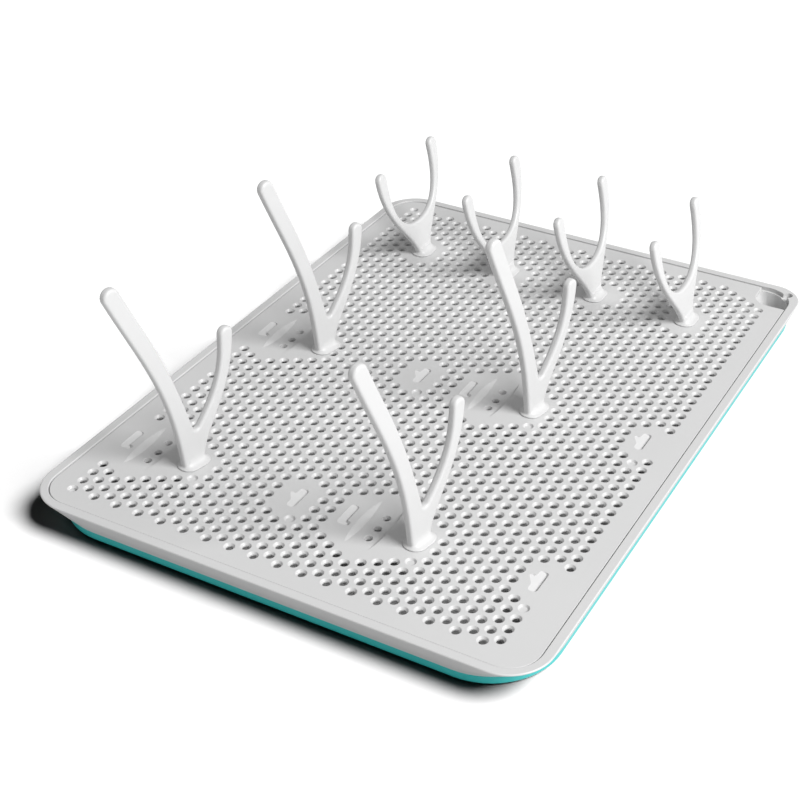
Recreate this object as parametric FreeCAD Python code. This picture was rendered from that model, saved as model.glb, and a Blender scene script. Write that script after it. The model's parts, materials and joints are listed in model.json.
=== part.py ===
import FreeCAD, Part

import math
import os

from FreeCAD import Placement, Rotation, Vector

# Bottle drying rack: a shallow drip tray in a coloured base shell, a perforated drain plate that
# lifts out of the tray, and forked pegs that plug into sockets in the plate.
#
# Millimetres. The origin is the centre of the rack's underside, where the rubber feet touch the
# table. +X runs across the short side, +Y along the long side towards the row of small pegs,
# and +Z is up. Most plan sizes are multiples of the pitch of the drain holes.

PITCH = 8.0

# How far a solid runs into its neighbour before the two are joined or cut
OVERLAP = 0.5

# Heights, from the table up
FOOT_STANDOFF = 1.6
BASE_HEIGHT = 6.0
TRAY_SIDE_HEIGHT = 11.0
PLATE_THICKNESS = 2.0
PLATE_BELOW_RIM = 0.6
SEAM_Z = FOOT_STANDOFF + BASE_HEIGHT
RIM_Z = SEAM_Z + TRAY_SIDE_HEIGHT
PLATE_TOP_Z = RIM_Z - PLATE_BELOW_RIM
PLATE_UNDER_Z = PLATE_TOP_Z - PLATE_THICKNESS

# Drip tray
TRAY_HALF_X = 18.05 * PITCH
TRAY_HALF_Y = 24.2 * PITCH
TRAY_CORNER = 22.0
SPOUT_CORNER = 17.5
LOWER_CORNER = 38.0
LOWER_SPOUT_CORNER = 21.0
TRAY_SIDE_TAPER = 4.0
RIM_ROUNDING = 0.6
SEAT_GAP = 0.5
EASED_EDGE = 0.4
LEDGE_WIDTH = 5.0
WELL_CORNER = 31.5
TRAY_FLOOR = 2.0
WELL_ROUNDING = 3.0
NEST_INSET = 3.2
NEST_TAPER = 0.4
POCKET_MARGIN = 4.0
POCKET_EDGE = 0.4
POCKET_SLOPE = 4.4
POCKET_CORNER = 6.0
CHANNEL_WIDTH = 5.0
CHANNEL_DEPTH = 3.0
CHANNEL_LENGTH = 12.0
SPOUT_WALL = 2.6

# Base shell under the tray
BASE_WALL = 2.2
BASE_FLOOR = 1.8
BASE_TAPER = 1.0
BASE_CAVITY_TAPER = 0.6
BASE_ROUNDING = 2.0
NEST_GAP = 0.2

# Rubber feet
FOOT_RADIUS = 8.0
FOOT_RECESS = 0.8
FOOT_INSET = 34.0
FOOT_ROUNDING = 0.5
FOOT_GAP = 0.1

# Drain plate
PLATE_HALF_X = 17.32 * PITCH
PLATE_HALF_Y = 23.5 * PITCH
PLATE_CORNER = 16.4
SEAT_LIFT = 0.1
HOLE_TOP_RADIUS = 2.8
HOLE_THROAT_RADIUS = 2.0
DIMPLE_DEPTH = 1.4
COLUMN_STEP = PITCH * math.sqrt(3) / 2
LAST_COLUMN = 18
LAST_ROW = 22
NOTCH_X = 14.7 * PITCH
NOTCH_Y = 21.0 * PITCH
NOTCH_RADIUS = 9.6
NOTCH_END_RADIUS = 1.0

# Stations for the tall pegs and their spare sockets, and for the row of small pegs
STATION_X = (-10.4 * PITCH, 6.48 * PITCH)
STATION_Y = (-16 * PITCH, 0.0)
STATION_COLUMN = (-16, 4)
SMALL_X = (-11.3 * PITCH, -3.77 * PITCH, 3.77 * PITCH, 11.3 * PITCH)
SMALL_Y = 16.1 * PITCH
RECESS_DEPTH = 1.3
KEYED_X = -4.92 * PITCH
KEYED_RAMP_DEG = 12.0
FORKED_X = 8.29 * PITCH
FORKED_RAMP_DEG = 7.0
SCOOP_DEPTH = 2.3
SCOOP_X = -3.15 * PITCH
SCOOP_PAD_HALF = (1.35 * PITCH, 2.5 * PITCH)
SCOOP_PAD_CORNER = 3.0
SCOOP_PAD_DEPTH = 2.0
SCOOP_HOLE_X = -3.05 * PITCH
SCOOP_HOLE_STEP = 1.1 * PITCH
SCOOP_HOLE_TOP_RADIUS = 2.2
SCOOP_HOLE_THROAT_RADIUS = 1.6

# Pegs: flat forked blades with rounded edges, a flared foot and a plug
TALL_THICKNESS = 4.6
SMALL_THICKNESS = 4.2
EDGE_ROUNDING = 1.5
CROTCH_RADIUS = 2.4
TALL_TURN_DEG = -11.3
SMALL_LEAN_DEG = -11.3
COLLAR_SIZE = (13.0, 18.4)
COLLAR_EDGE = 0.8
COLLAR_HEIGHT = 5.0
COLLAR_NECK_HALF_Y = 6.4
TALL_COLLAR_Y = -0.8
PLUG_SIZE = (3.2, 10.4)
PLUG_DEPTH = 6.4
PLUG_CORNER = 0.7
PLUG_CHAMFER = 0.4
SOCKET_GAP = 0.25
SOCKET_WALL = 2.0
SOCKET_FLOOR = 1.0
SOCKET_CORNER = 0.8
SOCKET_BOSS_CORNER = 2.0


def rounded_outline(corners, z):
    """Closed wire round (x, y, radius) corners given anticlockwise, with an arc at each corner."""
    arcs = []
    for index, (x, y, radius) in enumerate(corners):
        here = Vector(x, y, z)
        before = corners[index - 1]
        after = corners[(index + 1) % len(corners)]
        back = (Vector(before[0], before[1], z) - here).normalize()
        ahead = (Vector(after[0], after[1], z) - here).normalize()
        half_angle = back.getAngle(ahead) / 2
        reach = radius / math.tan(half_angle)
        inward = (back + ahead).normalize()
        middle = here + inward * (radius / math.sin(half_angle) - radius)
        arcs.append((here + back * reach, middle, here + ahead * reach))
    edges = []
    for index, (start, middle, end) in enumerate(arcs):
        edges.append(Part.Arc(start, middle, end).toShape())
        edges.append(Part.makeLine(end, arcs[(index + 1) % len(arcs)][0]))
    return Part.Wire(edges)


def rounded_rectangle(half_x, half_y, radii, z):
    """Closed wire round a centred rectangle; radii go (+X,+Y), (-X,+Y), (-X,-Y), (+X,-Y)."""
    signs = ((1, 1), (-1, 1), (-1, -1), (1, -1))
    corners = [(sx * half_x, sy * half_y, radius) for (sx, sy), radius in zip(signs, radii)]
    return rounded_outline(corners, z)


def rounded_slab(half_x, half_y, radius, z_low, z_high):
    face = Part.Face(rounded_rectangle(half_x, half_y, (radius,) * 4, z_low))
    return face.extrude(Vector(0, 0, z_high - z_low))


def outer_radii(inset):
    """Corner radii of the tray's outline: the rim's at no inset, or else the rounder ones below it.
    The pouring corner at (+X,+Y) is tighter than the other three."""
    if inset == 0:
        return (SPOUT_CORNER,) + (TRAY_CORNER,) * 3
    shrink = inset - TRAY_SIDE_TAPER
    return (LOWER_SPOUT_CORNER - shrink,) + (LOWER_CORNER - shrink,) * 3


def tapered_shell(inset_low, z_low, inset_high, z_high):
    low = rounded_rectangle(TRAY_HALF_X - inset_low, TRAY_HALF_Y - inset_low, outer_radii(inset_low), z_low)
    high = rounded_rectangle(
        TRAY_HALF_X - inset_high, TRAY_HALF_Y - inset_high, outer_radii(inset_high), z_high)
    return Part.makeLoft([low, high], True, True)


def edges_at(shape, z, tolerance=0.01):
    """Every edge that lies wholly at height z."""
    found = []
    for edge in shape.Edges:
        box = edge.BoundBox
        if abs(box.ZMin - z) < tolerance and abs(box.ZMax - z) < tolerance:
            found.append(edge)
    return found


def lies_within(edge, half_x, half_y, tolerance=0.01):
    """True if the edge stays inside the centred rectangle, or on its outline."""
    box = edge.BoundBox
    far_x = max(-box.XMin, box.XMax)
    far_y = max(-box.YMin, box.YMax)
    return far_x < half_x + tolerance and far_y < half_y + tolerance


def moved(shape, x=0.0, y=0.0, z=0.0, turn_deg=0.0):
    copy = shape.copy()
    copy.Placement = Placement(Vector(x, y, z), Rotation(Vector(0, 0, 1), turn_deg))
    return copy


def largest_solid(shape):
    return max(shape.Solids, key=lambda solid: solid.Volume)


# --- Drip tray ---------------------------------------------------------------------------------

def make_drip_tray():
    """White tray: tapered side, flat rim, a ledge for the plate, and a deep well with a spout."""
    body = tapered_shell(TRAY_SIDE_TAPER, SEAM_Z, 0.0, RIM_Z)
    body = body.makeFillet(RIM_ROUNDING, edges_at(body, RIM_Z))
    underside_z = FOOT_STANDOFF + BASE_FLOOR + NEST_GAP
    nest_inset = TRAY_SIDE_TAPER + NEST_INSET
    nest = tapered_shell(nest_inset + NEST_TAPER, underside_z, nest_inset, SEAM_Z)
    body = body.fuse(nest).removeSplitter()

    seat_x = PLATE_HALF_X + SEAT_GAP
    seat_y = PLATE_HALF_Y + SEAT_GAP
    seat_z = PLATE_UNDER_Z - SEAT_LIFT
    body = body.cut(rounded_slab(seat_x, seat_y, PLATE_CORNER + SEAT_GAP, seat_z, RIM_Z + 1))
    inner_edges = [e for e in edges_at(body, RIM_Z) if lies_within(e, seat_x, seat_y)]
    body = body.makeFillet(EASED_EDGE, inner_edges)

    well_z = underside_z + TRAY_FLOOR
    well = rounded_slab(seat_x - LEDGE_WIDTH, seat_y - LEDGE_WIDTH, WELL_CORNER, well_z, RIM_Z + 1)
    well = well.makeFillet(WELL_ROUNDING, edges_at(well, well_z))
    body = body.cut(well).cut(make_pouring_pocket(seat_x, seat_y, well_z)).cut(make_pouring_channel())
    return largest_solid(body)


def make_pouring_pocket(seat_x, seat_y, well_z):
    """Bowl with sloping sides that carries the well out to the pouring corner."""
    def outline(inset, z):
        low_x, high_x = NOTCH_X - POCKET_MARGIN + inset, seat_x - POCKET_EDGE - inset
        low_y, high_y = NOTCH_Y - POCKET_MARGIN + inset, seat_y - POCKET_EDGE - inset
        return rounded_outline([
            (high_x, high_y, PLATE_CORNER - inset), (low_x, high_y, POCKET_CORNER),
            (low_x, low_y, POCKET_CORNER), (high_x, low_y, POCKET_CORNER)], z)

    return Part.makeLoft([outline(POCKET_SLOPE, well_z), outline(0.0, RIM_Z)], True, True)


def make_pouring_channel():
    """Groove that runs from the well out through the seat towards the tight corner of the rim."""
    corner_x = TRAY_HALF_X - SPOUT_CORNER
    corner_y = TRAY_HALF_Y - SPOUT_CORNER
    reach = SPOUT_CORNER - SPOUT_WALL - CHANNEL_WIDTH / 2
    bottom_z = RIM_Z - CHANNEL_DEPTH
    start = Vector(reach - CHANNEL_LENGTH, -CHANNEL_WIDTH / 2, 0)
    box = Part.makeBox(CHANNEL_LENGTH, CHANNEL_WIDTH, CHANNEL_DEPTH + 1, start)
    nose = Part.makeCylinder(CHANNEL_WIDTH / 2, CHANNEL_DEPTH + 1, Vector(reach, 0, 0))
    groove = box.fuse(nose).removeSplitter()
    return moved(groove, corner_x, corner_y, bottom_z, 45.0)


# --- Base shell and feet -----------------------------------------------------------------------

def make_base_cover():
    """Coloured shell that the tray nests in: a shallow rounded pan open at the top."""
    outer = tapered_shell(TRAY_SIDE_TAPER + BASE_TAPER, FOOT_STANDOFF, TRAY_SIDE_TAPER, SEAM_Z)
    outer = outer.makeFillet(BASE_ROUNDING, edges_at(outer, FOOT_STANDOFF))
    wall_inset = TRAY_SIDE_TAPER + BASE_WALL
    cavity = tapered_shell(
        wall_inset + BASE_CAVITY_TAPER, FOOT_STANDOFF + BASE_FLOOR, wall_inset, SEAM_Z + 1)
    shell = outer.cut(cavity)
    for x, y in foot_positions():
        recess = Part.makeCylinder(FOOT_RADIUS + FOOT_GAP, FOOT_RECESS, Vector(x, y, FOOT_STANDOFF))
        shell = shell.cut(recess)
    return largest_solid(shell)


def foot_positions():
    x = TRAY_HALF_X - FOOT_INSET
    y = TRAY_HALF_Y - FOOT_INSET
    return ((-x, -y), (x, -y), (-x, y), (x, y))


def make_foot(x, y):
    height = FOOT_STANDOFF + FOOT_RECESS - FOOT_GAP / 2
    foot = Part.makeCylinder(FOOT_RADIUS, height, Vector(x, y, 0))
    return foot.makeFillet(FOOT_ROUNDING, edges_at(foot, 0.0))


# --- Drain plate -------------------------------------------------------------------------------

def near_station(column, row):
    """True where a tall peg's station leaves no room for a drain hole."""
    for station_column in STATION_COLUMN:
        for station_y in STATION_Y:
            across = column - station_column
            along = abs(row - station_y / PITCH)
            in_patch = -3 <= across <= 4 if station_column > 0 else -2 <= across <= 4
            if in_patch and along < 4 - 0.5 * abs(across):
                return True
            if station_column < 0 and station_y < 0 and across == 5 and along < 1.5:
                return True
    return False


def near_forked_recess(column, row):
    for recess_column in (-3, 17):
        for station_y in STATION_Y:
            across = abs(column - recess_column)
            along = abs(row - station_y / PITCH)
            if across <= 1 and along < 2.5 - 0.5 * across:
                return True
    return False


def near_small_peg(column, row):
    for x in SMALL_X:
        if math.hypot(column * COLUMN_STEP - x, row * PITCH - SMALL_Y) < 1.7 * PITCH:
            return True
    return False


def in_spout_corner(column, row):
    return column > 14 and row > 22 - (column - 14) / 2


def in_plain_corner(column, row):
    """The plain strip beside the front right edge."""
    return column == 18 and row <= -15


def dimples():
    """Column and row of the blind dimples, which take the place of drain holes near the stations."""
    places = [(-11, -17.5)]
    for station_y in STATION_Y:
        row = station_y / PITCH
        places += [(8, row - 2), (-2, row - 2), (17, row - 2.5)]
    return places


def is_dimple(column, row):
    return (column, row) in dimples()


def drain_holes():
    """Column and row of every drain hole: a triangular grid with the stations left out."""
    skip_tests = (
        near_station, near_forked_recess, near_small_peg, in_spout_corner, in_plain_corner, is_dimple)
    for column in range(-LAST_COLUMN, LAST_COLUMN + 1):
        shift = 0.5 if column % 2 else 0.0
        for step in range(-LAST_ROW, LAST_ROW + 1):
            row = step + shift
            if abs(row) <= LAST_ROW and not any(test(column, row) for test in skip_tests):
                yield column, row


def funnel(x, y, depth):
    """Cone with the drain hole's wall angle, cut down from the plate's top to the given depth."""
    slope = (HOLE_TOP_RADIUS - HOLE_THROAT_RADIUS) / PLATE_THICKNESS
    low_radius = HOLE_TOP_RADIUS - slope * depth
    return Part.makeCone(low_radius, HOLE_TOP_RADIUS, depth, Vector(x, y, PLATE_TOP_Z - depth))


def make_scoop(x, y):
    """Finger scoop beside a tall peg: a sloping left side, a flat floor and a curved right side."""
    def outline(left_end, left_mid, right_end, right_mid, half, z):
        a = Vector(left_end * PITCH, -half * PITCH, z)
        b = Vector(left_end * PITCH, half * PITCH, z)
        c = Vector(right_end * PITCH, half * PITCH, z)
        d = Vector(right_end * PITCH, -half * PITCH, z)
        left = Part.Arc(a, Vector(left_mid * PITCH, 0, z), b).toShape()
        right = Part.Arc(c, Vector(right_mid * PITCH, 0, z), d).toShape()
        return Part.Wire([left, Part.makeLine(b, c), right, Part.makeLine(d, a)])

    top = outline(-3.5, -4.2, -2.35, -2.16, 2.22, PLATE_TOP_Z)
    floor = outline(-3.44, -3.5, -2.42, -2.26, 1.9, PLATE_TOP_Z - SCOOP_DEPTH)
    return moved(Part.makeLoft([floor, top], True, True), x, y)


def make_scoop_pad(x, y):
    """Thicker patch below the plate that leaves room for the scoop's floor."""
    low_z = PLATE_UNDER_Z - SCOOP_PAD_DEPTH
    pad = rounded_slab(*SCOOP_PAD_HALF, SCOOP_PAD_CORNER, low_z, PLATE_UNDER_Z + OVERLAP)
    return moved(pad, x + SCOOP_X, y)


def make_scoop_hole(x, y):
    height = PLATE_THICKNESS + SCOOP_PAD_DEPTH + 2 * OVERLAP
    base = Vector(x + SCOOP_HOLE_X, y, PLATE_UNDER_Z - SCOOP_PAD_DEPTH - OVERLAP)
    return Part.makeCone(SCOOP_HOLE_THROAT_RADIUS, SCOOP_HOLE_TOP_RADIUS, height, base)


def make_ramped_recess(outline, ramp_deg):
    """Recess with a sloping floor: shallow at its -X side and RECESS_DEPTH deep at x = 0."""
    floor_z = PLATE_TOP_Z - RECESS_DEPTH
    prism = Part.Face(rounded_outline(outline, floor_z)).extrude(Vector(0, 0, RECESS_DEPTH + 1))
    above_ramp = Part.makeBox(2 * PITCH, 4 * PITCH, PITCH, Vector(-2 * PITCH, -2 * PITCH, 0))
    above_ramp.rotate(Vector(0, 0, 0), Vector(0, 1, 0), ramp_deg)
    above_ramp.translate(Vector(0, 0, floor_z))
    above_floor = Part.makeBox(PITCH, 4 * PITCH, PITCH, Vector(0, -2 * PITCH, floor_z))
    return prism.common(above_ramp.fuse(above_floor)).removeSplitter()


def make_keyed_recess(x, y):
    """Straight recess with a small key notch at the front end of its right side."""
    outline = [
        (-5.0, -7.6, 2.2), (2.2, -7.4, 1.2), (2.2, -3.6, 1.2), (0.0, -3.4, 0.6), (0.0, 9.0, 2.2),
        (-5.0, 9.0, 2.2)]
    return moved(make_ramped_recess(outline, KEYED_RAMP_DEG), x + KEYED_X, y)


def make_forked_recess(x, y):
    """Straight recess with a branch that leaves its left side and points back."""
    outline = [
        (-5.1, -8.0, 2.2), (0.0, -8.0, 2.2), (0.0, 8.0, 2.2), (-5.1, 8.0, 2.2), (-5.1, 2.0, 0.8),
        (-6.5, 4.1, 1.2), (-8.8, 2.5, 1.2), (-5.1, -3.0, 0.8)]
    return moved(make_ramped_recess(outline, FORKED_RAMP_DEG), x + FORKED_X, y)


def make_socket(x, y, turn_deg):
    """Boss below the plate and the blind slot in it that takes a peg's plug."""
    slot_x = PLUG_SIZE[0] / 2 + SOCKET_GAP
    slot_y = PLUG_SIZE[1] / 2 + SOCKET_GAP
    slot_z = PLATE_TOP_Z - PLUG_DEPTH - SOCKET_GAP
    boss = rounded_slab(
        slot_x + SOCKET_WALL, slot_y + SOCKET_WALL, SOCKET_BOSS_CORNER,
        slot_z - SOCKET_FLOOR, PLATE_UNDER_Z + OVERLAP)
    slot = rounded_slab(slot_x, slot_y, SOCKET_CORNER, slot_z, PLATE_TOP_Z + OVERLAP)
    return moved(boss, x, y, 0, turn_deg), moved(slot, x, y, 0, turn_deg)


def make_plate_blank():
    """Flat plate with rounded corners, and a cut-away corner over the tray's spout."""
    outline = [
        (PLATE_HALF_X, -PLATE_HALF_Y, PLATE_CORNER),
        (PLATE_HALF_X, NOTCH_Y, NOTCH_END_RADIUS),
        (NOTCH_X, NOTCH_Y, NOTCH_RADIUS),
        (NOTCH_X, PLATE_HALF_Y, NOTCH_END_RADIUS),
        (-PLATE_HALF_X, PLATE_HALF_Y, PLATE_CORNER),
        (-PLATE_HALF_X, -PLATE_HALF_Y, PLATE_CORNER),
    ]
    face = Part.Face(rounded_outline(outline, PLATE_UNDER_Z))
    blank = face.extrude(Vector(0, 0, PLATE_THICKNESS))
    return blank.makeFillet(EASED_EDGE, edges_at(blank, PLATE_TOP_Z))


def peg_stations():
    """Name, x, y and turn of every peg, with 'tall' or 'small' as the kind."""
    stations = []
    for y, along in zip(STATION_Y, ("front", "middle")):
        for x, across in zip(STATION_X, ("left", "right")):
            stations.append((f"tall_peg_{along}_{across}", "tall", x, y, TALL_TURN_DEG))
    for x, place in zip(SMALL_X, ("left", "inner_left", "inner_right", "right")):
        stations.append((f"small_peg_{place}", "small", x, SMALL_Y, 0.0))
    return stations


def make_drain_plate():
    """White plate: funnel-shaped drain holes, sockets for the pegs, spare slots and scoops."""
    plate = make_plate_blank()
    cutters = []
    bosses = []
    for _, _, x, y, turn_deg in peg_stations():
        boss, slot = make_socket(x, y, turn_deg)
        bosses.append(boss)
        cutters.append(slot)
    for x in STATION_X:
        for y in STATION_Y:
            bosses.append(make_scoop_pad(x, y))
            cutters += [make_scoop(x, y), make_keyed_recess(x, y), make_forked_recess(x, y)]
            cutters += [make_scoop_hole(x, y + step * SCOOP_HOLE_STEP) for step in (-1, 0, 1)]
    plate = plate.multiFuse(bosses).removeSplitter()
    for column, row in drain_holes():
        cutters.append(funnel(column * COLUMN_STEP, row * PITCH, PLATE_THICKNESS))
    for column, row in dimples():
        cutters.append(funnel(column * COLUMN_STEP, row * PITCH, DIMPLE_DEPTH))
    return largest_solid(plate.cut(Part.makeCompound(cutters)))


# --- Pegs --------------------------------------------------------------------------------------
# A blade is drawn in its own plane: u along +Y and z up from the plate's top.

def at(u, z):
    return Vector(0, u, z)


def curve(*points):
    bezier = Part.BezierCurve()
    bezier.setPoles([at(*point) for point in points])
    return bezier.toShape()


class Tip:
    """Round end of an arm: centre, radius and the way the arm points."""

    def __init__(self, u, z, radius, lean_deg):
        self.lean = math.radians(lean_deg)
        self.centre = (u, z)
        self.radius = radius

    def point(self, side, up=0.0):
        """side -1 and 1 are where the arm's edges end; up 1 is the very tip."""
        u = self.centre[0] + self.radius * (side * math.cos(self.lean) - up * math.sin(self.lean))
        z = self.centre[1] + self.radius * (side * math.sin(self.lean) + up * math.cos(self.lean))
        return (u, z)

    def handle(self, side, length):
        """Control point down the arm from an edge's end, so that the edge runs into the round end."""
        u, z = self.point(side)
        return (u + length * math.sin(self.lean), z - length * math.cos(self.lean))

    def arc(self):
        return Part.Arc(at(*self.point(-1)), at(*self.point(0, 1)), at(*self.point(1))).toShape()


def tall_outline():
    """A long arm that leans out to -u and a short arm that rises on the +u side."""
    long_tip = Tip(-39.6, 117.6, 4.7, 22.5)
    short_tip = Tip(27.6, 66.2, 4.1, -5.0)
    foot_left = (-8.3, 0.0)
    foot_right = (5.2, 0.0)
    crotch = (0.8, 18.4)
    edges = [
        curve(foot_left, (-12.0, 51.3), long_tip.handle(-1, 47.3), long_tip.point(-1)),
        long_tip.arc(),
        curve(long_tip.point(1), long_tip.handle(1, 37.6), (-12.5, 73.0), crotch),
        curve(crotch, (23.7, 40.3), short_tip.handle(-1, 11.1), short_tip.point(-1)),
        short_tip.arc(),
        curve(short_tip.point(1), short_tip.handle(1, 36.0), (6.7, 17.8), foot_right),
        Part.makeLine(at(*foot_right), at(*foot_left)),
    ]
    return Part.Wire(edges), crotch


def small_outline():
    """Two equal arms that curve up from a broad web to upright tips."""
    left_tip = Tip(-31.5, 61.8, 4.3, 0.0)
    right_tip = Tip(31.5, 61.8, 4.3, 0.0)
    foot_left = (-7.0, 0.0)
    foot_right = (7.0, 0.0)
    hollow = (0.0, 22.4)
    edges = [
        curve(foot_left, (-7.9, 15.0), (-35.8, 29.8), left_tip.point(-1)),
        left_tip.arc(),
        curve(left_tip.point(1), left_tip.handle(1, 5.3), (-30.9, 22.4), hollow),
        curve(hollow, (30.9, 22.4), right_tip.handle(-1, 5.3), right_tip.point(-1)),
        right_tip.arc(),
        curve(right_tip.point(1), (35.8, 29.8), (7.9, 15.0), foot_right),
        Part.makeLine(at(*foot_right), at(*foot_left)),
    ]
    return Part.Wire(edges), None


def make_blade(outline, crotch, thickness):
    face = Part.Face(outline)
    blade = face.extrude(Vector(thickness, 0, 0))
    blade.translate(Vector(-thickness / 2, 0, 0))
    if crotch:
        inner = [e for e in blade.Edges if is_crotch_edge(e, crotch)]
        blade = blade.makeFillet(CROTCH_RADIUS, inner)
    rims = []
    for edge in blade.Edges:
        box = edge.BoundBox
        flat = box.XMax - box.XMin < 0.01
        if flat and box.ZMax > 0.01:
            rims.append(edge)
    return blade.makeFillet(EDGE_ROUNDING, rims)


def is_crotch_edge(edge, crotch):
    box = edge.BoundBox
    through = box.XMax - box.XMin > 1.0
    near = math.hypot(box.Center.y - crotch[0], box.Center.z - crotch[1]) < 0.1
    return through and near


def make_collar(thickness, centre_u):
    """Flared foot: a low oval disc that sweeps up into the blade."""
    wide = (COLLAR_SIZE[0] / 2, COLLAR_SIZE[1] / 2)
    narrow = (thickness / 2 + 0.1, COLLAR_NECK_HALF_Y)
    middle = (narrow[0] + 1.1, narrow[1] + 0.9)
    sections = (
        (wide, 0.05),
        (wide, COLLAR_EDGE),
        (middle, COLLAR_EDGE + 1.4),
        (narrow, COLLAR_HEIGHT),
    )
    wires = []
    for (half_x, half_y), z in sections:
        radius = min(half_x, half_y) * 0.96
        wires.append(rounded_rectangle(half_x, half_y, (radius,) * 4, z))
    disc = Part.makeLoft(wires[:2], True, True)
    flare = Part.makeLoft(wires[1:], True, False)
    collar = disc.fuse(flare).removeSplitter()
    collar.translate(Vector(0, centre_u, 0))
    return collar


def make_plug():
    """Flat plug below the foot, with its lower edges eased so that it finds the socket."""
    half_x, half_y = PLUG_SIZE[0] / 2, PLUG_SIZE[1] / 2
    plug = rounded_slab(half_x, half_y, PLUG_CORNER, -PLUG_DEPTH, OVERLAP)
    return plug.makeChamfer(PLUG_CHAMFER, edges_at(plug, -PLUG_DEPTH))


def make_peg(kind):
    """A peg standing on the origin, with the top of the plate at z = 0."""
    if kind == "tall":
        outline, crotch = tall_outline()
        blade = make_blade(outline, crotch, TALL_THICKNESS)
        collar = make_collar(TALL_THICKNESS, TALL_COLLAR_Y)
    else:
        outline, crotch = small_outline()
        blade = make_blade(outline, crotch, SMALL_THICKNESS)
        blade.rotate(Vector(0, 0, 0), Vector(0, 1, 0), SMALL_LEAN_DEG)
        collar = make_collar(SMALL_THICKNESS, 0.0)
    below = Part.makeBox(60, 60, 10, Vector(-30, -30, -9.95))
    blade = blade.cut(below)
    return largest_solid(blade.fuse(collar).fuse(make_plug()).removeSplitter())


def main():
    os.makedirs("parts", exist_ok=True)
    nodes = {
        "drip_tray": make_drip_tray(),
        "base_cover": make_base_cover(),
        "drain_plate": make_drain_plate(),
    }
    foot_names = ("front_left", "front_right", "back_left", "back_right")
    for name, (x, y) in zip(foot_names, foot_positions()):
        nodes[f"rubber_foot_{name}"] = make_foot(x, y)
    pegs = {"tall": make_peg("tall"), "small": make_peg("small")}
    for name, kind, x, y, turn_deg in peg_stations():
        nodes[name] = moved(pegs[kind], x, y, PLATE_TOP_Z, turn_deg)
    for name, shape in nodes.items():
        shape.exportStep(f"parts/{name}.step")


main()
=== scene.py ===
import json
import math

import bpy
from mathutils import Matrix, Vector
from mathutils.geometry import delaunay_2d_cdt

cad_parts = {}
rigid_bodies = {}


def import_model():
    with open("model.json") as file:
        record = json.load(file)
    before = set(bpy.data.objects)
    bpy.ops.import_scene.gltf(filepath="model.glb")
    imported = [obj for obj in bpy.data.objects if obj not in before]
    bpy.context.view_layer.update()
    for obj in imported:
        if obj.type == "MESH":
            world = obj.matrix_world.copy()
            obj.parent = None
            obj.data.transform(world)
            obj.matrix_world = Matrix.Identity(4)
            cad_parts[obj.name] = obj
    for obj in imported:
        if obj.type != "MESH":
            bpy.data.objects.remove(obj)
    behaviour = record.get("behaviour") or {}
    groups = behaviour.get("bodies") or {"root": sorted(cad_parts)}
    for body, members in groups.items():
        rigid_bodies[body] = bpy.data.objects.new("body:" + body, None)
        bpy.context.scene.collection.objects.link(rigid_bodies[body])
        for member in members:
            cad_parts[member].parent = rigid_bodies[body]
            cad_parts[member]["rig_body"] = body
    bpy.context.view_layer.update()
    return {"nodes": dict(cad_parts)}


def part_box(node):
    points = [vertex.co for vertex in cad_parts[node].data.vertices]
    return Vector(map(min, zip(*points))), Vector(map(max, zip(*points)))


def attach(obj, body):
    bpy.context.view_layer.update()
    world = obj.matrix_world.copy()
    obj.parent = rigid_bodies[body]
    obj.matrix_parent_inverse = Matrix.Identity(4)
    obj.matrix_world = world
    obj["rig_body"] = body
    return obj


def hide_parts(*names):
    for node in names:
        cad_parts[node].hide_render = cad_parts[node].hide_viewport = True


# Looks of the bottle drying rack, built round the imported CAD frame. Blender units are metres; the
# drain plate is drawn in millimetres and scaled at the end. The tray, the base cover and the feet
# are the CAD's own solids with new materials. The drain plate is drawn again from its layout, with
# smooth funnels, and the pegs are the CAD's solids with their joins melted together.

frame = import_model()

MM = 0.001
PEGS = sorted(name for name in frame["nodes"] if "_peg_" in name)
FEET = sorted(name for name in frame["nodes"] if name.startswith("rubber_foot_"))

# The drain plate, in millimetres, worked out from the CAD node's box and the pitch of its holes
plate_low, plate_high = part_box("drain_plate")
PLATE_HALF_X = plate_high.x / MM
PLATE_HALF_Y = plate_high.y / MM
PITCH = PLATE_HALF_X / 17.32
PLATE_TOP_Z = plate_high.z / MM
PLATE_THICKNESS = 2.0
PLATE_UNDER_Z = PLATE_TOP_Z - PLATE_THICKNESS
PLATE_CORNER = 16.4
PLATE_EDGE_ROUNDING = 0.4
PLATE_STEP_DEG = 6.0
NOTCH_X = 14.7 * PITCH
NOTCH_Y = 21.0 * PITCH
NOTCH_RADIUS = 9.6
NOTCH_END_RADIUS = 1.0

# Drain holes: a triangular grid of funnels, each with a cone down to its throat
COLUMN_STEP = PITCH * math.sqrt(3) / 2
LAST_COLUMN = 18
LAST_ROW = 22
HOLE_EDGE_RADIUS = 3.1
HOLE_ROUNDING = 0.5
HOLE_CONE_DEG = 37.0
THROAT_DEPTH = 1.25
HOLE_SIDES = 15
HOLE_ROUNDING_STEPS = 1
DIMPLE_DEPTH = 1.1

# Where the grid of holes stops short or leaves room for a forked recess, in columns and rows
SPOUT_COLUMN = 14
PLAIN_CORNER_ROW = -15
FORKED_COLUMN = (-3, 17)

# Stations of the tall pegs and the row of small pegs
STATION_X = (-10.4 * PITCH, 6.48 * PITCH)
STATION_Y = (-16 * PITCH, 0.0)
STATION_COLUMN = (-16, 4)
SMALL_X = (-11.3 * PITCH, -3.77 * PITCH, 3.77 * PITCH, 11.3 * PITCH)
SMALL_Y = 16.1 * PITCH
SMALL_CLEARANCE = 1.7 * PITCH
TALL_TURN_DEG = -11.3

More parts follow.
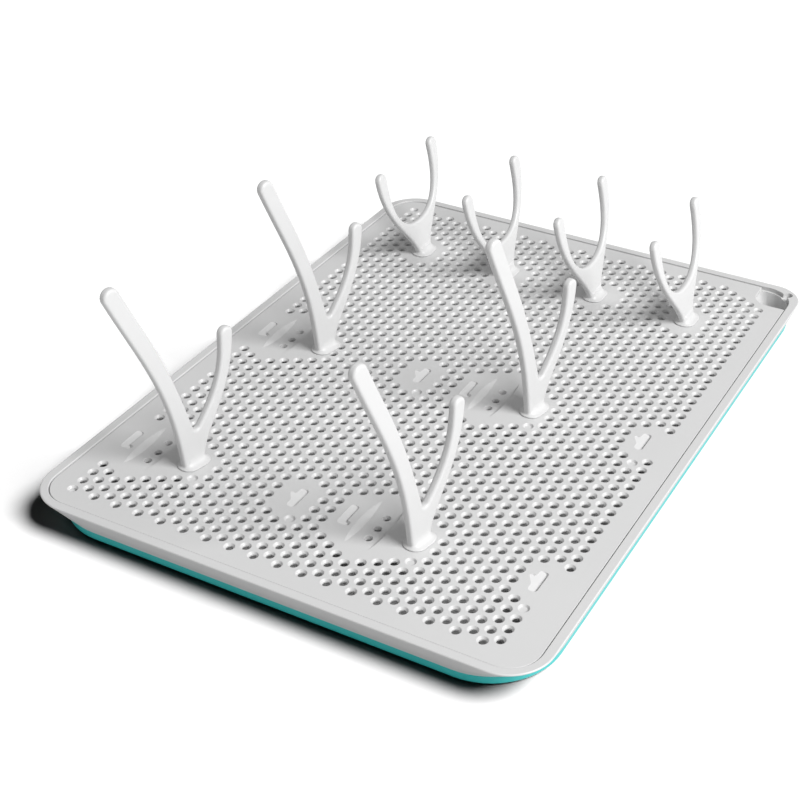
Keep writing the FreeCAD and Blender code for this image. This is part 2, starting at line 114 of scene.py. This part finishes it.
# Recesses. Their floors are shaded as if RAMP_SHADING times as steep as they are.
RECESS_DEPTH = 1.4
RECESS_ROUNDING = 0.4
RECESS_WALL_DEG = 28.0
RECESS_LEAST_WALL = 0.02
RAMP_SHADING = 1.4
KEYED_X = -4.92 * PITCH
KEYED_RAMP_DEG = 21.0
FORKED_X = 8.29 * PITCH
FORKED_RAMP_DEG = 18.0

# Finger scoops. Each side is given by where its ends and its middle lie, and every size of the rim
# and the floor is in pitches from the station: left end, left middle, right end, right middle.
SCOOP_RIM = (-4.05, -4.44, -2.35, -2.12)
SCOOP_RIM_HALF = 2.4
SCOOP_FLOOR = (-4.03, -3.96, -2.42, -2.24)
SCOOP_FLOOR_HALF = 2.3
SCOOP_DEPTH = 2.2
SCOOP_ROWS = 7
SCOOP_SIDE_STEPS = 14
SCOOP_SLOPE_POWER = 1.25
SCOOP_LEAST_RUN = 0.01
SCOOP_HOLE_RADIUS = 2.5
SCOOP_HOLE_SIDES = 20
SCOOP_HOLE_ROUNDING = 0.4
SCOOP_HOLE_WALL_DEG = 12.0
SCOOP_HOLE_STEP = 1.1 * PITCH
SCOOP_HOLE_X = -3.05 * PITCH
SCOOP_PAD = 2.0
SCOOP_PAD_X = -3.15 * PITCH
SCOOP_PAD_HALF = (1.35 * PITCH, 2.5 * PITCH)
SCOOP_PAD_CORNER = 3.0

# Sockets under the pegs
SOCKET_HALF = (1.85, 5.45)
SOCKET_CORNER = 0.8
SOCKET_ROUNDING = 0.15
SOCKET_STEP_DEG = 30.0
SOCKET_DEPTH = 6.65
SOCKET_WALL = 2.0
SOCKET_FLOOR = 1.0
SOCKET_BLOCK_CORNER = 2.0

ROUNDING_STEPS = 4
UP = (0.0, 0.0, 1.0)
DOWN = (0.0, 0.0, -1.0)
KEEP_INSIDE = 1
WELD_MM = 1e-7


# --- A mesh made of rings --------------------------------------------------------------------------

class RingMesh:
    """Points, faces and one normal for every face corner. A ring is a list of point numbers."""

    def __init__(self):
        self.points = []
        self.faces = []
        self.normals = []

    def ring(self, points):
        start = len(self.points)
        self.points.extend(points)
        return list(range(start, len(self.points)))

    def band(self, upper, lower, upper_normals, lower_normals, inside):
        """Quads between two rings: the wall of a pit if inside, or else the outside of a block."""
        count = len(upper)
        for here in range(count):
            after = (here + 1) % count
            corners = [
                (upper[here], upper_normals[here]), (lower[here], lower_normals[here]),
                (lower[after], lower_normals[after]), (upper[after], upper_normals[after])]
            if inside:
                corners.reverse()
            self.faces.append(tuple(number for number, _ in corners))
            self.normals += [normal for _, normal in corners]

    def sheet(self, outer, holes, normal):
        """Flat triangles inside the outer ring and outside every hole."""
        rings = [outer] + holes
        numbers = [number for ring in rings for number in ring]
        places = [Vector(self.points[number][:2]) for number in numbers]
        loops = []
        start = 0
        for ring in rings:
            loops.append(list(range(start, start + len(ring))))
            start += len(ring)
        found = delaunay_2d_cdt(places, [], loops, KEEP_INSIDE, WELD_MM, True)
        triangles, origins, owners = found[2], found[3], found[5]
        for triangle, owner in zip(triangles, owners):
            if owner != [0]:
                continue
            corners = [numbers[origins[vertex][0]] for vertex in triangle]
            if normal[2] < 0:
                corners.reverse()
            self.faces.append(tuple(corners))
            self.normals += [normal] * 3

    def to_object(self, name):
        mesh = bpy.data.meshes.new(name)
        mesh.from_pydata([Vector(point) * MM for point in self.points], [], self.faces)
        mesh.shade_smooth()
        mesh.normals_split_custom_set(self.normals)
        piece = bpy.data.objects.new(name, mesh)
        bpy.context.scene.collection.objects.link(piece)
        return piece


# --- Outlines: lists of (x, y) points with the direction that leads out of the shape ---------------

def rounded_outline(corners, step_deg=15.0):
    """Outline through (x, y, radius) corners given anticlockwise, with an arc at each corner."""
    outline = []
    for index, (x, y, radius) in enumerate(corners):
        here = Vector((x, y))
        before = Vector(corners[index - 1][:2])
        after = Vector(corners[(index + 1) % len(corners)][:2])
        back = (before - here).normalized()
        ahead = (after - here).normalized()
        turn = math.atan2(ahead.x * back.y - ahead.y * back.x, ahead.dot(back))
        bend = math.copysign(math.pi - abs(turn), turn)
        inward = (back + ahead).normalized()
        centre = here + inward * (radius / math.sin(abs(turn) / 2))
        start = math.atan2(-back.y, -back.x) - math.pi / 2
        steps = max(2, round(math.degrees(abs(bend)) / step_deg))
        for step in range(steps + 1):
            angle = start + bend * step / steps
            outward = Vector((math.cos(angle), math.sin(angle)))
            outline.append((centre + outward * math.copysign(radius, bend), outward))
    return outline


def rounded_rectangle(half_x, half_y, radius, step_deg=15.0):
    signs = ((1, 1), (-1, 1), (-1, -1), (1, -1))
    return rounded_outline([(sx * half_x, sy * half_y, radius) for sx, sy in signs], step_deg)


def circle(radius, sides):
    outline = []
    for side in range(sides):
        angle = 2 * math.pi * side / sides
        outward = Vector((math.cos(angle), math.sin(angle)))
        outline.append((outward * radius, outward))
    return outline


def placed(outline, x, y, turn_deg=0.0):
    turn = Matrix.Rotation(math.radians(turn_deg), 2)
    return [(turn @ point + Vector((x, y)), turn @ outward) for point, outward in outline]


def level_ring(mesh, outline, grow, z):
    """Ring of the outline moved outwards by grow, at height z."""
    points = []
    for point, outward in outline:
        moved = point + outward * grow
        points.append((moved.x, moved.y, z))
    return mesh.ring(points)


def tilted(outline, sideways, upward):
    """A normal for every point of the outline: outward times sideways, plus up times upward."""
    return [(o.x * sideways, o.y * sideways, upward) for _, o in outline]


# --- Walls -------------------------------------------------------------------------------------

def rounded_lip(mesh, outline, z, rounding, wall_deg, sign, steps=ROUNDING_STEPS):
    """Rounded edge from the flat at height z into a wall. Sign -1 goes down into a pit, 1 goes down
    the outside of a solid. Returns the top ring, the last ring, its normals, growth and drop."""
    end = math.pi / 2 - math.radians(wall_deg)
    rings = []
    for step in range(steps + 1):
        angle = end * step / steps
        grow = sign * rounding * math.sin(angle)
        drop = rounding * (1 - math.cos(angle))
        normals = tilted(outline, sign * math.sin(angle), math.cos(angle))
        rings.append((level_ring(mesh, outline, grow, z - drop), normals, grow, drop))
    for upper, lower in zip(rings, rings[1:]):
        mesh.band(upper[0], lower[0], upper[1], lower[1], sign < 0)
    return rings[0][0], rings[-1]


def pit(mesh, outline, z, rounding, wall_deg, depth, steps=ROUNDING_STEPS):
    """Hole or pocket whose rounded top edge is the outline. Returns its top and bottom rings."""
    top, (ring, normals, grow, drop) = rounded_lip(mesh, outline, z, rounding, wall_deg, -1, steps)
    grow -= (depth - drop) * math.tan(math.radians(wall_deg))
    bottom = level_ring(mesh, outline, grow, z - depth)
    mesh.band(ring, bottom, normals, normals, True)
    return top, bottom


def boss(mesh, outline, z, height):
    """Block that hangs below height z. Returns its top ring and the ring round its underside."""
    top = level_ring(mesh, outline, 0.0, z)
    bottom = level_ring(mesh, outline, 0.0, z - height)
    normals = tilted(outline, 1.0, 0.0)
    mesh.band(top, bottom, normals, normals, False)
    return top, bottom


# --- Where the drain holes are -----------------------------------------------------------------

def near_station(column, row):
    """True where a tall peg's station leaves no room for a drain hole."""
    for station_column in STATION_COLUMN:
        for station_y in STATION_Y:
            across = column - station_column
            along = abs(row - station_y / PITCH)
            in_patch = -3 <= across <= 4 if station_column > 0 else -2 <= across <= 4
            if in_patch and along < 4 - 0.5 * abs(across):
                return True
            if station_column < 0 and station_y < 0 and across == 5 and along < 1.5:
                return True
    return False


def near_forked_recess(column, row):
    for recess_column in FORKED_COLUMN:
        for station_y in STATION_Y:
            across = abs(column - recess_column)
            along = abs(row - station_y / PITCH)
            if across <= 1 and along < 2.5 - 0.5 * across:
                return True
    return False


def near_small_peg(column, row):
    for x in SMALL_X:
        if math.hypot(column * COLUMN_STEP - x, row * PITCH - SMALL_Y) < SMALL_CLEARANCE:
            return True
    return False


def in_spout_corner(column, row):
    return column > SPOUT_COLUMN and row > LAST_ROW - (column - SPOUT_COLUMN) / 2


def in_plain_corner(column, row):
    """The plain strip beside the front right edge."""
    return column == LAST_COLUMN and row <= PLAIN_CORNER_ROW


def dimples():
    """Column and row of the blind dimples, which take the place of drain holes near the stations."""
    places = [(-11, -17.5)]
    for station_y in STATION_Y:
        row = station_y / PITCH
        places += [(8, row - 2), (-2, row - 2), (17, row - 2.5)]
    return places


def is_dimple(column, row):
    return any(column == c and abs(row - r) < 0.1 for c, r in dimples())


def drain_holes():
    """Column and row of every drain hole: a triangular grid with the stations left out."""
    skip_tests = (
        near_station, near_forked_recess, near_small_peg, in_spout_corner, in_plain_corner, is_dimple)
    for column in range(-LAST_COLUMN, LAST_COLUMN + 1):
        shift = 0.5 if column % 2 else 0.0
        for step in range(-LAST_ROW, LAST_ROW + 1):
            row = step + shift
            if abs(row) <= LAST_ROW and not any(test(column, row) for test in skip_tests):
                yield column, row


def peg_places():
    """x, y and turn of every peg."""
    places = [(x, y, TALL_TURN_DEG) for x in STATION_X for y in STATION_Y]
    return places + [(x, SMALL_Y, 0.0) for x in SMALL_X]


# --- The drain plate -----------------------------------------------------------------------------

def plate_outline():
    return rounded_outline([
        (PLATE_HALF_X, -PLATE_HALF_Y, PLATE_CORNER),
        (PLATE_HALF_X, NOTCH_Y, NOTCH_END_RADIUS),
        (NOTCH_X, NOTCH_Y, NOTCH_RADIUS),
        (NOTCH_X, PLATE_HALF_Y, NOTCH_END_RADIUS),
        (-PLATE_HALF_X, PLATE_HALF_Y, PLATE_CORNER),
        (-PLATE_HALF_X, -PLATE_HALF_Y, PLATE_CORNER),
    ], PLATE_STEP_DEG)


def keyed_outline():
    """Straight recess with a small key notch at the front end of its right side."""
    return rounded_outline([
        (-5.0, -7.6, 2.2), (2.2, -7.4, 1.2), (2.2, -3.6, 1.2), (0.0, -3.4, 0.6), (0.0, 9.0, 2.2),
        (-5.0, 9.0, 2.2)])


def forked_outline():
    """Straight recess with a branch that leaves its left side and points back."""
    return rounded_outline([
        (-5.1, -8.0, 2.2), (0.0, -8.0, 2.2), (0.0, 8.0, 2.2), (-5.1, 8.0, 2.2), (-5.1, 2.0, 0.8),
        (-6.5, 4.1, 1.2), (-8.8, 2.5, 1.2), (-5.1, -3.0, 0.8)])


def ramped_recess(mesh, outline, x, y, ramp_deg):
    """Recess whose floor slopes from shallow at its left to RECESS_DEPTH at its right edge, x."""
    outline = placed(outline, x, y)
    top, (ring, normals, grow, drop) = rounded_lip(
        mesh, outline, PLATE_TOP_Z, RECESS_ROUNDING, RECESS_WALL_DEG, -1)
    slope = math.tan(math.radians(ramp_deg))
    floor = []
    for point, outward in outline:
        depth = RECESS_DEPTH - slope * max(0.0, x - point.x)
        depth = max(depth, drop + RECESS_LEAST_WALL)
        inset = grow - (depth - drop) * math.tan(math.radians(RECESS_WALL_DEG))
        moved = point + outward * inset
        floor.append((moved.x, moved.y, PLATE_TOP_Z - depth))
    bottom = mesh.ring(floor)
    mesh.band(ring, bottom, normals, normals, True)
    tilt = math.radians(ramp_deg * RAMP_SHADING)
    mesh.sheet(bottom, [], (math.sin(tilt), 0.0, math.cos(tilt)))
    return top


def scoop_ring(left_end, left_mid, right_end, right_mid, half, steps=SCOOP_SIDE_STEPS):
    """Closed ring with a bowed left side and a bowed right side, anticlockwise, in pitches."""
    points = []
    for end, mid, sign in ((right_end, right_mid, 1), (left_end, left_mid, -1)):
        for step in range(steps + 1):
            along = -1 + 2 * step / steps
            bow = (mid - end) * (1 - along * along)
            points.append(Vector(((end + bow) * PITCH, sign * along * half * PITCH)))
    return points


def scoop_depth(along):
    """Depth of a scoop's floor at this distance along it from its middle."""
    share = min(1.0, abs(along) / (SCOOP_FLOOR_HALF * PITCH))
    return SCOOP_DEPTH * (1 - share * share)


def scoop(mesh, x, y):
    """Finger scoop beside a tall peg: a slope on its left, three drain holes in its floor. The floor
    is deepest at its middle and rises to the plate's top at both ends."""
    rim = scoop_ring(*SCOOP_RIM, SCOOP_RIM_HALF)
    floor = scoop_ring(*SCOOP_FLOOR, SCOOP_FLOOR_HALF)
    rings = []
    for row in range(SCOOP_ROWS + 1):
        share = row / SCOOP_ROWS
        points, normals = [], []
        for outer, inner in zip(rim, floor):
            drop = scoop_depth(inner.y) * share ** SCOOP_SLOPE_POWER
            steepness = scoop_depth(inner.y) * SCOOP_SLOPE_POWER * share ** (SCOOP_SLOPE_POWER - 1)
            place = outer.lerp(inner, share)
            run = inner - outer
            points.append((place.x + x, place.y + y, PLATE_TOP_Z - drop))
            length = max(run.length, SCOOP_LEAST_RUN)
            normal = Vector((run.x / length * steepness, run.y / length * steepness, length))
            normals.append(tuple(normal.normalized()))
        rings.append((mesh.ring(points), normals))
    for upper, lower in zip(rings, rings[1:]):
        mesh.band(upper[0], lower[0], upper[1], lower[1], True)

    tops, bottoms = [], []
    for step in (-1, 0, 1):
        outline = circle(SCOOP_HOLE_RADIUS, SCOOP_HOLE_SIDES)
        hole = placed(outline, x + SCOOP_HOLE_X, y + step * SCOOP_HOLE_STEP)
        floor_z = PLATE_TOP_Z - scoop_depth(step * SCOOP_HOLE_STEP)
        depth = floor_z - PLATE_UNDER_Z + SCOOP_PAD
        top, bottom = pit(mesh, hole, floor_z, SCOOP_HOLE_ROUNDING, SCOOP_HOLE_WALL_DEG, depth)
        tops.append(top)
        bottoms.append(bottom)
    mesh.sheet(rings[-1][0], tops, UP)

    pad = placed(rounded_rectangle(*SCOOP_PAD_HALF, SCOOP_PAD_CORNER), x + SCOOP_PAD_X, y)
    pad_top, pad_bottom = boss(mesh, pad, PLATE_UNDER_Z, SCOOP_PAD)
    mesh.sheet(pad_bottom, bottoms, DOWN)
    return rings[0][0], pad_top


def socket(mesh, x, y, turn_deg):
    """Blind socket for a peg's plug, in a boss below the plate."""
    outline = rounded_rectangle(*SOCKET_HALF, SOCKET_CORNER, SOCKET_STEP_DEG)
    slot = placed(outline, x, y, turn_deg)
    top, bottom = pit(mesh, slot, PLATE_TOP_Z, SOCKET_ROUNDING, 0.0, SOCKET_DEPTH)
    mesh.sheet(bottom, [], UP)
    half_x, half_y = SOCKET_HALF[0] + SOCKET_WALL, SOCKET_HALF[1] + SOCKET_WALL
    block = placed(rounded_rectangle(half_x, half_y, SOCKET_BLOCK_CORNER), x, y, turn_deg)
    height = SOCKET_DEPTH + SOCKET_FLOOR - PLATE_THICKNESS
    block_top, block_bottom = boss(mesh, block, PLATE_UNDER_Z, height)
    mesh.sheet(block_bottom, [], DOWN)
    return top, block_top


def funnel(mesh, column, row, depth):
    """Rounded lip and cone of a drain hole. Returns its top and bottom rings, its outline and the
    radius of the bottom ring."""
    outline = placed(circle(HOLE_EDGE_RADIUS, HOLE_SIDES), column * COLUMN_STEP, row * PITCH)
    top, bottom = pit(
        mesh, outline, PLATE_TOP_Z, HOLE_ROUNDING, HOLE_CONE_DEG, depth, HOLE_ROUNDING_STEPS)
    centre = Vector((column * COLUMN_STEP, row * PITCH))
    radius = (Vector(mesh.points[bottom[0]][:2]) - centre).length
    return top, bottom, outline, radius


def drain_plate_surface():
    """The drain plate: every pit and boss first, then the flat top and underside between them."""
    mesh = RingMesh()
    top_rings, under_rings = [], []
    for column, row in drain_holes():
        top, throat, outline, radius = funnel(mesh, column, row, THROAT_DEPTH)
        straight = tilted(outline, -1.0, 0.0)
        bottom = level_ring(mesh, outline, radius - HOLE_EDGE_RADIUS, PLATE_UNDER_Z)
        mesh.band(throat, bottom, straight, straight, True)
        top_rings.append(top)
        under_rings.append(bottom)
    for column, row in dimples():
        top, bottom, _, _ = funnel(mesh, column, row, DIMPLE_DEPTH)
        mesh.sheet(bottom, [], UP)
        top_rings.append(top)
    for x in STATION_X:
        for y in STATION_Y:
            top, under = scoop(mesh, x, y)
            top_rings.append(top)
            under_rings.append(under)
            top_rings.append(ramped_recess(mesh, keyed_outline(), x + KEYED_X, y, KEYED_RAMP_DEG))
            top_rings.append(ramped_recess(mesh, forked_outline(), x + FORKED_X, y, FORKED_RAMP_DEG))
    for x, y, turn_deg in peg_places():
        top, under = socket(mesh, x, y, turn_deg)
        top_rings.append(top)
        under_rings.append(under)

    inner = [(point - outward * PLATE_EDGE_ROUNDING, outward) for point, outward in plate_outline()]
    top, (ring, normals, grow, _) = rounded_lip(mesh, inner, PLATE_TOP_Z, PLATE_EDGE_ROUNDING, 0.0, 1)
    bottom = level_ring(mesh, inner, grow, PLATE_UNDER_Z)
    mesh.band(ring, bottom, normals, normals, False)
    mesh.sheet(top, top_rings, UP)
    mesh.sheet(bottom, under_rings, DOWN)
    return mesh.to_object("drain_plate_surface")


# --- Materials -----------------------------------------------------------------------------------

PLASTIC_IOR = 1.49
PLATE_WHITE = (0.62, 0.62, 0.62)
PLATE_CLOUD = (0.605, 0.605, 0.605)
PEG_WHITE = (0.63, 0.63, 0.63)
PEG_CLOUD = (0.615, 0.615, 0.615)
TEAL = (0.045, 0.54, 0.53)
TEAL_CLOUD = (0.04, 0.51, 0.50)
RUBBER_GREY = (0.52, 0.53, 0.54)
RUBBER_DUST = (0.44, 0.45, 0.46)
RUBBER_SCATTER = 0.25
RUBBER_SCATTER_RADIUS = (0.003, 0.003, 0.003)

# Noise: scales are in repeats to the metre, and its useful values lie between the two limits
CLOUD_SCALE = 14.0
DUST_SCALE = 160.0
SHEEN_SCALE = 90.0
SHEEN_SPREAD = 0.05
GRAIN_SCALE = 2600.0
GRAIN_DETAIL = 2.0
GRAIN_ROUGHNESS = 0.6
NOISE_LOW = 0.3
NOISE_HIGH = 0.7


def node_material(name):
    """Empty node material: returns it, its node tree and its principled shader."""
    material = bpy.data.materials.new(name)
    material.use_nodes = True
    tree = material.node_tree
    return material, tree, tree.nodes["Principled BSDF"]


def noise(tree, scale, detail=3.0, roughness=0.5):
    """Noise in object space, with the scale in repeats to the metre."""
    place = tree.nodes.new("ShaderNodeTexCoord")
    texture = tree.nodes.new("ShaderNodeTexNoise")
    texture.inputs["Scale"].default_value = scale
    texture.inputs["Detail"].default_value = detail
    texture.inputs["Roughness"].default_value = roughness
    tree.links.new(place.outputs["Object"], texture.inputs["Vector"])
    return texture.outputs["Fac"]


def remap(tree, value, low, high):
    """Turns noise into a value from low to high."""
    node = tree.nodes.new("ShaderNodeMapRange")
    node.inputs["From Min"].default_value = NOISE_LOW
    node.inputs["From Max"].default_value = NOISE_HIGH
    node.inputs["To Min"].default_value = low
    node.inputs["To Max"].default_value = high
    tree.links.new(value, node.inputs["Value"])
    return node.outputs["Result"]


def mix_colour(tree, share, first, second):
    node = tree.nodes.new("ShaderNodeMix")
    node.data_type = "RGBA"
    node.inputs["A"].default_value = (*first, 1.0)
    if isinstance(second, tuple):
        node.inputs["B"].default_value = (*second, 1.0)
    else:
        tree.links.new(second, node.inputs["B"])
    tree.links.new(share, node.inputs["Factor"])
    return node.outputs["Result"]


def moulded_plastic(name, colour, cloud_colour, roughness, grain_height, cloud_scale=CLOUD_SCALE):
    """Moulded plastic: faint clouding in its colour, an uneven sheen and a fine spark-eroded grain."""
    material, tree, shader = node_material(name)
    clouds = remap(tree, noise(tree, cloud_scale), 0.0, 1.0)
    base = mix_colour(tree, clouds, colour, cloud_colour)
    tree.links.new(base, shader.inputs["Base Color"])
    unevenness = noise(tree, SHEEN_SCALE)
    sheen = remap(tree, unevenness, roughness - SHEEN_SPREAD, roughness + SHEEN_SPREAD)
    tree.links.new(sheen, shader.inputs["Roughness"])
    shader.inputs["IOR"].default_value = PLASTIC_IOR
    bump = tree.nodes.new("ShaderNodeBump")
    bump.inputs["Distance"].default_value = grain_height
    bump.inputs["Strength"].default_value = 1.0
    grain = noise(tree, GRAIN_SCALE, GRAIN_DETAIL, GRAIN_ROUGHNESS)
    tree.links.new(grain, bump.inputs["Height"])
    tree.links.new(bump.outputs["Normal"], shader.inputs["Normal"])
    return material


def soft_rubber():
    """Translucent grey rubber with a dull surface and a little dust in its tone."""
    material = moulded_plastic(
        "soft_rubber", RUBBER_GREY, RUBBER_DUST, roughness=0.62, grain_height=0.00003,
        cloud_scale=DUST_SCALE)
    shader = material.node_tree.nodes["Principled BSDF"]
    shader.inputs["Subsurface Weight"].default_value = RUBBER_SCATTER
    shader.inputs["Subsurface Radius"].default_value = RUBBER_SCATTER_RADIUS
    shader.inputs["Subsurface Scale"].default_value = 1.0
    return material


white_plastic = moulded_plastic(
    "white_plastic", PLATE_WHITE, PLATE_CLOUD, roughness=0.36, grain_height=0.00001)
peg_plastic = moulded_plastic(
    "peg_plastic", PEG_WHITE, PEG_CLOUD, roughness=0.38, grain_height=0.000008)
teal_plastic = moulded_plastic(
    "teal_plastic", TEAL, TEAL_CLOUD, roughness=0.36, grain_height=0.000012)
rubber = soft_rubber()


# --- Pieces --------------------------------------------------------------------------------------

PEG_VOXEL = 0.4 * MM
PEG_SMOOTHING = 3
PEG_SOFTENING = 0.5


def melted_peg(node):
    """The CAD peg with its foot, blade and plug melted into one smooth skin."""
    source = frame["nodes"][node]
    piece = bpy.data.objects.new(node + "_skin", source.data.copy())
    piece.data.materials.clear()
    bpy.context.scene.collection.objects.link(piece)
    remesh = piece.modifiers.new("remesh", "REMESH")
    remesh.mode = "VOXEL"
    remesh.voxel_size = PEG_VOXEL
    remesh.use_smooth_shade = True
    soften = piece.modifiers.new("soften", "SMOOTH")
    soften.factor = PEG_SOFTENING
    soften.iterations = PEG_SMOOTHING
    apply_modifiers(piece)
    piece.data.materials.append(peg_plastic)
    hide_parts(node)
    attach(piece, source["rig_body"])
    return piece


def apply_modifiers(piece):
    """Swaps the piece's mesh for the one its modifiers make."""
    evaluated = piece.evaluated_get(bpy.context.evaluated_depsgraph_get())
    result = bpy.data.meshes.new_from_object(evaluated)
    piece.modifiers.clear()
    old = piece.data
    piece.data = result
    bpy.data.meshes.remove(old)


def dressed(node, material):
    """Gives a CAD node that stays in the picture its material."""
    piece = frame["nodes"][node]
    piece.data.materials.clear()
    piece.data.materials.append(material)


plate = drain_plate_surface()
plate.data.materials.append(white_plastic)
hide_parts("drain_plate")
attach(plate, "plate")

for peg in PEGS:
    melted_peg(peg)
dressed("drip_tray", white_plastic)
dressed("base_cover", teal_plastic)
for foot in FEET:
    dressed(foot, rubber)


# --- Stage: floor, light and camera ---------------------------------------------------------------

# The camera sees the floor in FLOOR_WHITE; the light that it throws back has FLOOR_BOUNCE's tone
FLOOR_SIZE = 12.0
FLOOR_WHITE = (0.16, 0.16, 0.16)
FLOOR_BOUNCE = (0.105, 0.105, 0.105)
FLOOR_ROUGHNESS = 0.9
WORLD_STRENGTH = 0.01

# The key lamp stands on the rack's right and the sky is a dome, and neither lights the floor. The
# floor has a wash of its own.
KEY_AZIMUTH_DEG = 82.0
KEY_ELEVATION_DEG = 42.0
KEY_DISTANCE = 3.0
KEY_SIZE = 1.6
KEY_WATTS = 109.0
SKY_SPREAD_DEG = 180.0
SKY_STRENGTH = 1.05
WASH_AZIMUTH_DEG = 100.0
WASH_ELEVATION_DEG = 50.0
WASH_SPREAD_DEG = 30.0
WASH_STRENGTH = 27.0
SUN_DISTANCE = 2.0

CAMERA_AZIMUTH_DEG = 28.01
CAMERA_ELEVATION_DEG = 32.36
CAMERA_ROLL_DEG = 0.21
CAMERA_DISTANCE = 0.906
CAMERA_TARGET = Vector((-0.0120, 0.0347, 0.018))
LENS_MM = 70.05
SHIFT_X = -0.0781
SHIFT_Y = -0.0625
CLIP_NEAR = 0.05
CLIP_FAR = 50.0


def floor():
    mesh = bpy.data.meshes.new("floor")
    half = FLOOR_SIZE / 2
    corners = [(-half, -half, 0), (half, -half, 0), (half, half, 0), (-half, half, 0)]
    mesh.from_pydata(corners, [], [(0, 1, 2, 3)])
    ground = bpy.data.objects.new("floor", mesh)
    bpy.context.scene.collection.objects.link(ground)
    material, tree, shader = node_material("floor_white")
    path = tree.nodes.new("ShaderNodeLightPath")
    tone = mix_colour(tree, path.outputs["Is Camera Ray"], FLOOR_BOUNCE, FLOOR_WHITE)
    tree.links.new(tone, shader.inputs["Base Color"])
    shader.inputs["Roughness"].default_value = FLOOR_ROUGHNESS
    mesh.materials.append(material)
    return ground


def aim(thing, azimuth_deg, elevation_deg, distance, target=Vector()):
    """Puts a lamp or camera round the target; azimuth 0 is in front of the rack, 90 on its right."""
    a, e = math.radians(azimuth_deg), math.radians(elevation_deg)
    away = Vector((math.sin(a) * math.cos(e), -math.cos(a) * math.cos(e), math.sin(e)))
    thing.location = target + away * distance
    thing.rotation_mode = "QUATERNION"
    thing.rotation_quaternion = away.to_track_quat("Z", "Y")


def light_group(light, ground, state):
    """Keeps a lamp to the floor (state INCLUDE) or to everything but the floor (EXCLUDE)."""
    group = bpy.data.collections.new(light.name + "_group")
    group.objects.link(ground)
    group.collection_objects[0].light_linking.link_state = state
    light.light_linking.receiver_collection = group


def disc_lamp(name, azimuth_deg, elevation_deg, distance, size, power):
    lamp = bpy.data.lights.new(name, "AREA")
    lamp.energy = power
    lamp.shape = "DISK"
    lamp.size = size
    light = bpy.data.objects.new(name, lamp)
    bpy.context.scene.collection.objects.link(light)
    aim(light, azimuth_deg, elevation_deg, distance)
    return light


def sun_lamp(name, azimuth_deg, elevation_deg, spread_deg, strength):
    lamp = bpy.data.lights.new(name, "SUN")
    lamp.energy = strength
    lamp.angle = math.radians(spread_deg)
    light = bpy.data.objects.new(name, lamp)
    bpy.context.scene.collection.objects.link(light)
    aim(light, azimuth_deg, elevation_deg, SUN_DISTANCE)
    return light


def white_world(strength):
    world = bpy.data.worlds.new("world")
    world.use_nodes = True
    world.node_tree.nodes["Background"].inputs["Color"].default_value = (1.0, 1.0, 1.0, 1.0)
    world.node_tree.nodes["Background"].inputs["Strength"].default_value = strength
    bpy.context.scene.world = world


def camera():
    data = bpy.data.cameras.new("camera")
    data.lens = LENS_MM
    data.shift_x = SHIFT_X
    data.shift_y = SHIFT_Y
    data.clip_start = CLIP_NEAR
    data.clip_end = CLIP_FAR
    view = bpy.data.objects.new("camera", data)
    bpy.context.scene.collection.objects.link(view)
    aim(view, CAMERA_AZIMUTH_DEG, CAMERA_ELEVATION_DEG, CAMERA_DISTANCE, CAMERA_TARGET)
    roll = Matrix.Rotation(math.radians(CAMERA_ROLL_DEG), 3, "Z").to_quaternion()
    view.rotation_quaternion = view.rotation_quaternion @ roll
    bpy.context.scene.camera = view


ground = floor()
white_world(WORLD_STRENGTH)
key = disc_lamp("key", KEY_AZIMUTH_DEG, KEY_ELEVATION_DEG, KEY_DISTANCE, KEY_SIZE, KEY_WATTS)
sky = sun_lamp("sky", 0.0, 90.0, SKY_SPREAD_DEG, SKY_STRENGTH)
for lamp in (key, sky):
    light_group(lamp, ground, "EXCLUDE")
floor_wash = sun_lamp(
    "floor_wash", WASH_AZIMUTH_DEG, WASH_ELEVATION_DEG, WASH_SPREAD_DEG, WASH_STRENGTH)
light_group(floor_wash, ground, "INCLUDE")
camera()
bpy.context.scene.view_settings.view_transform = "Standard"
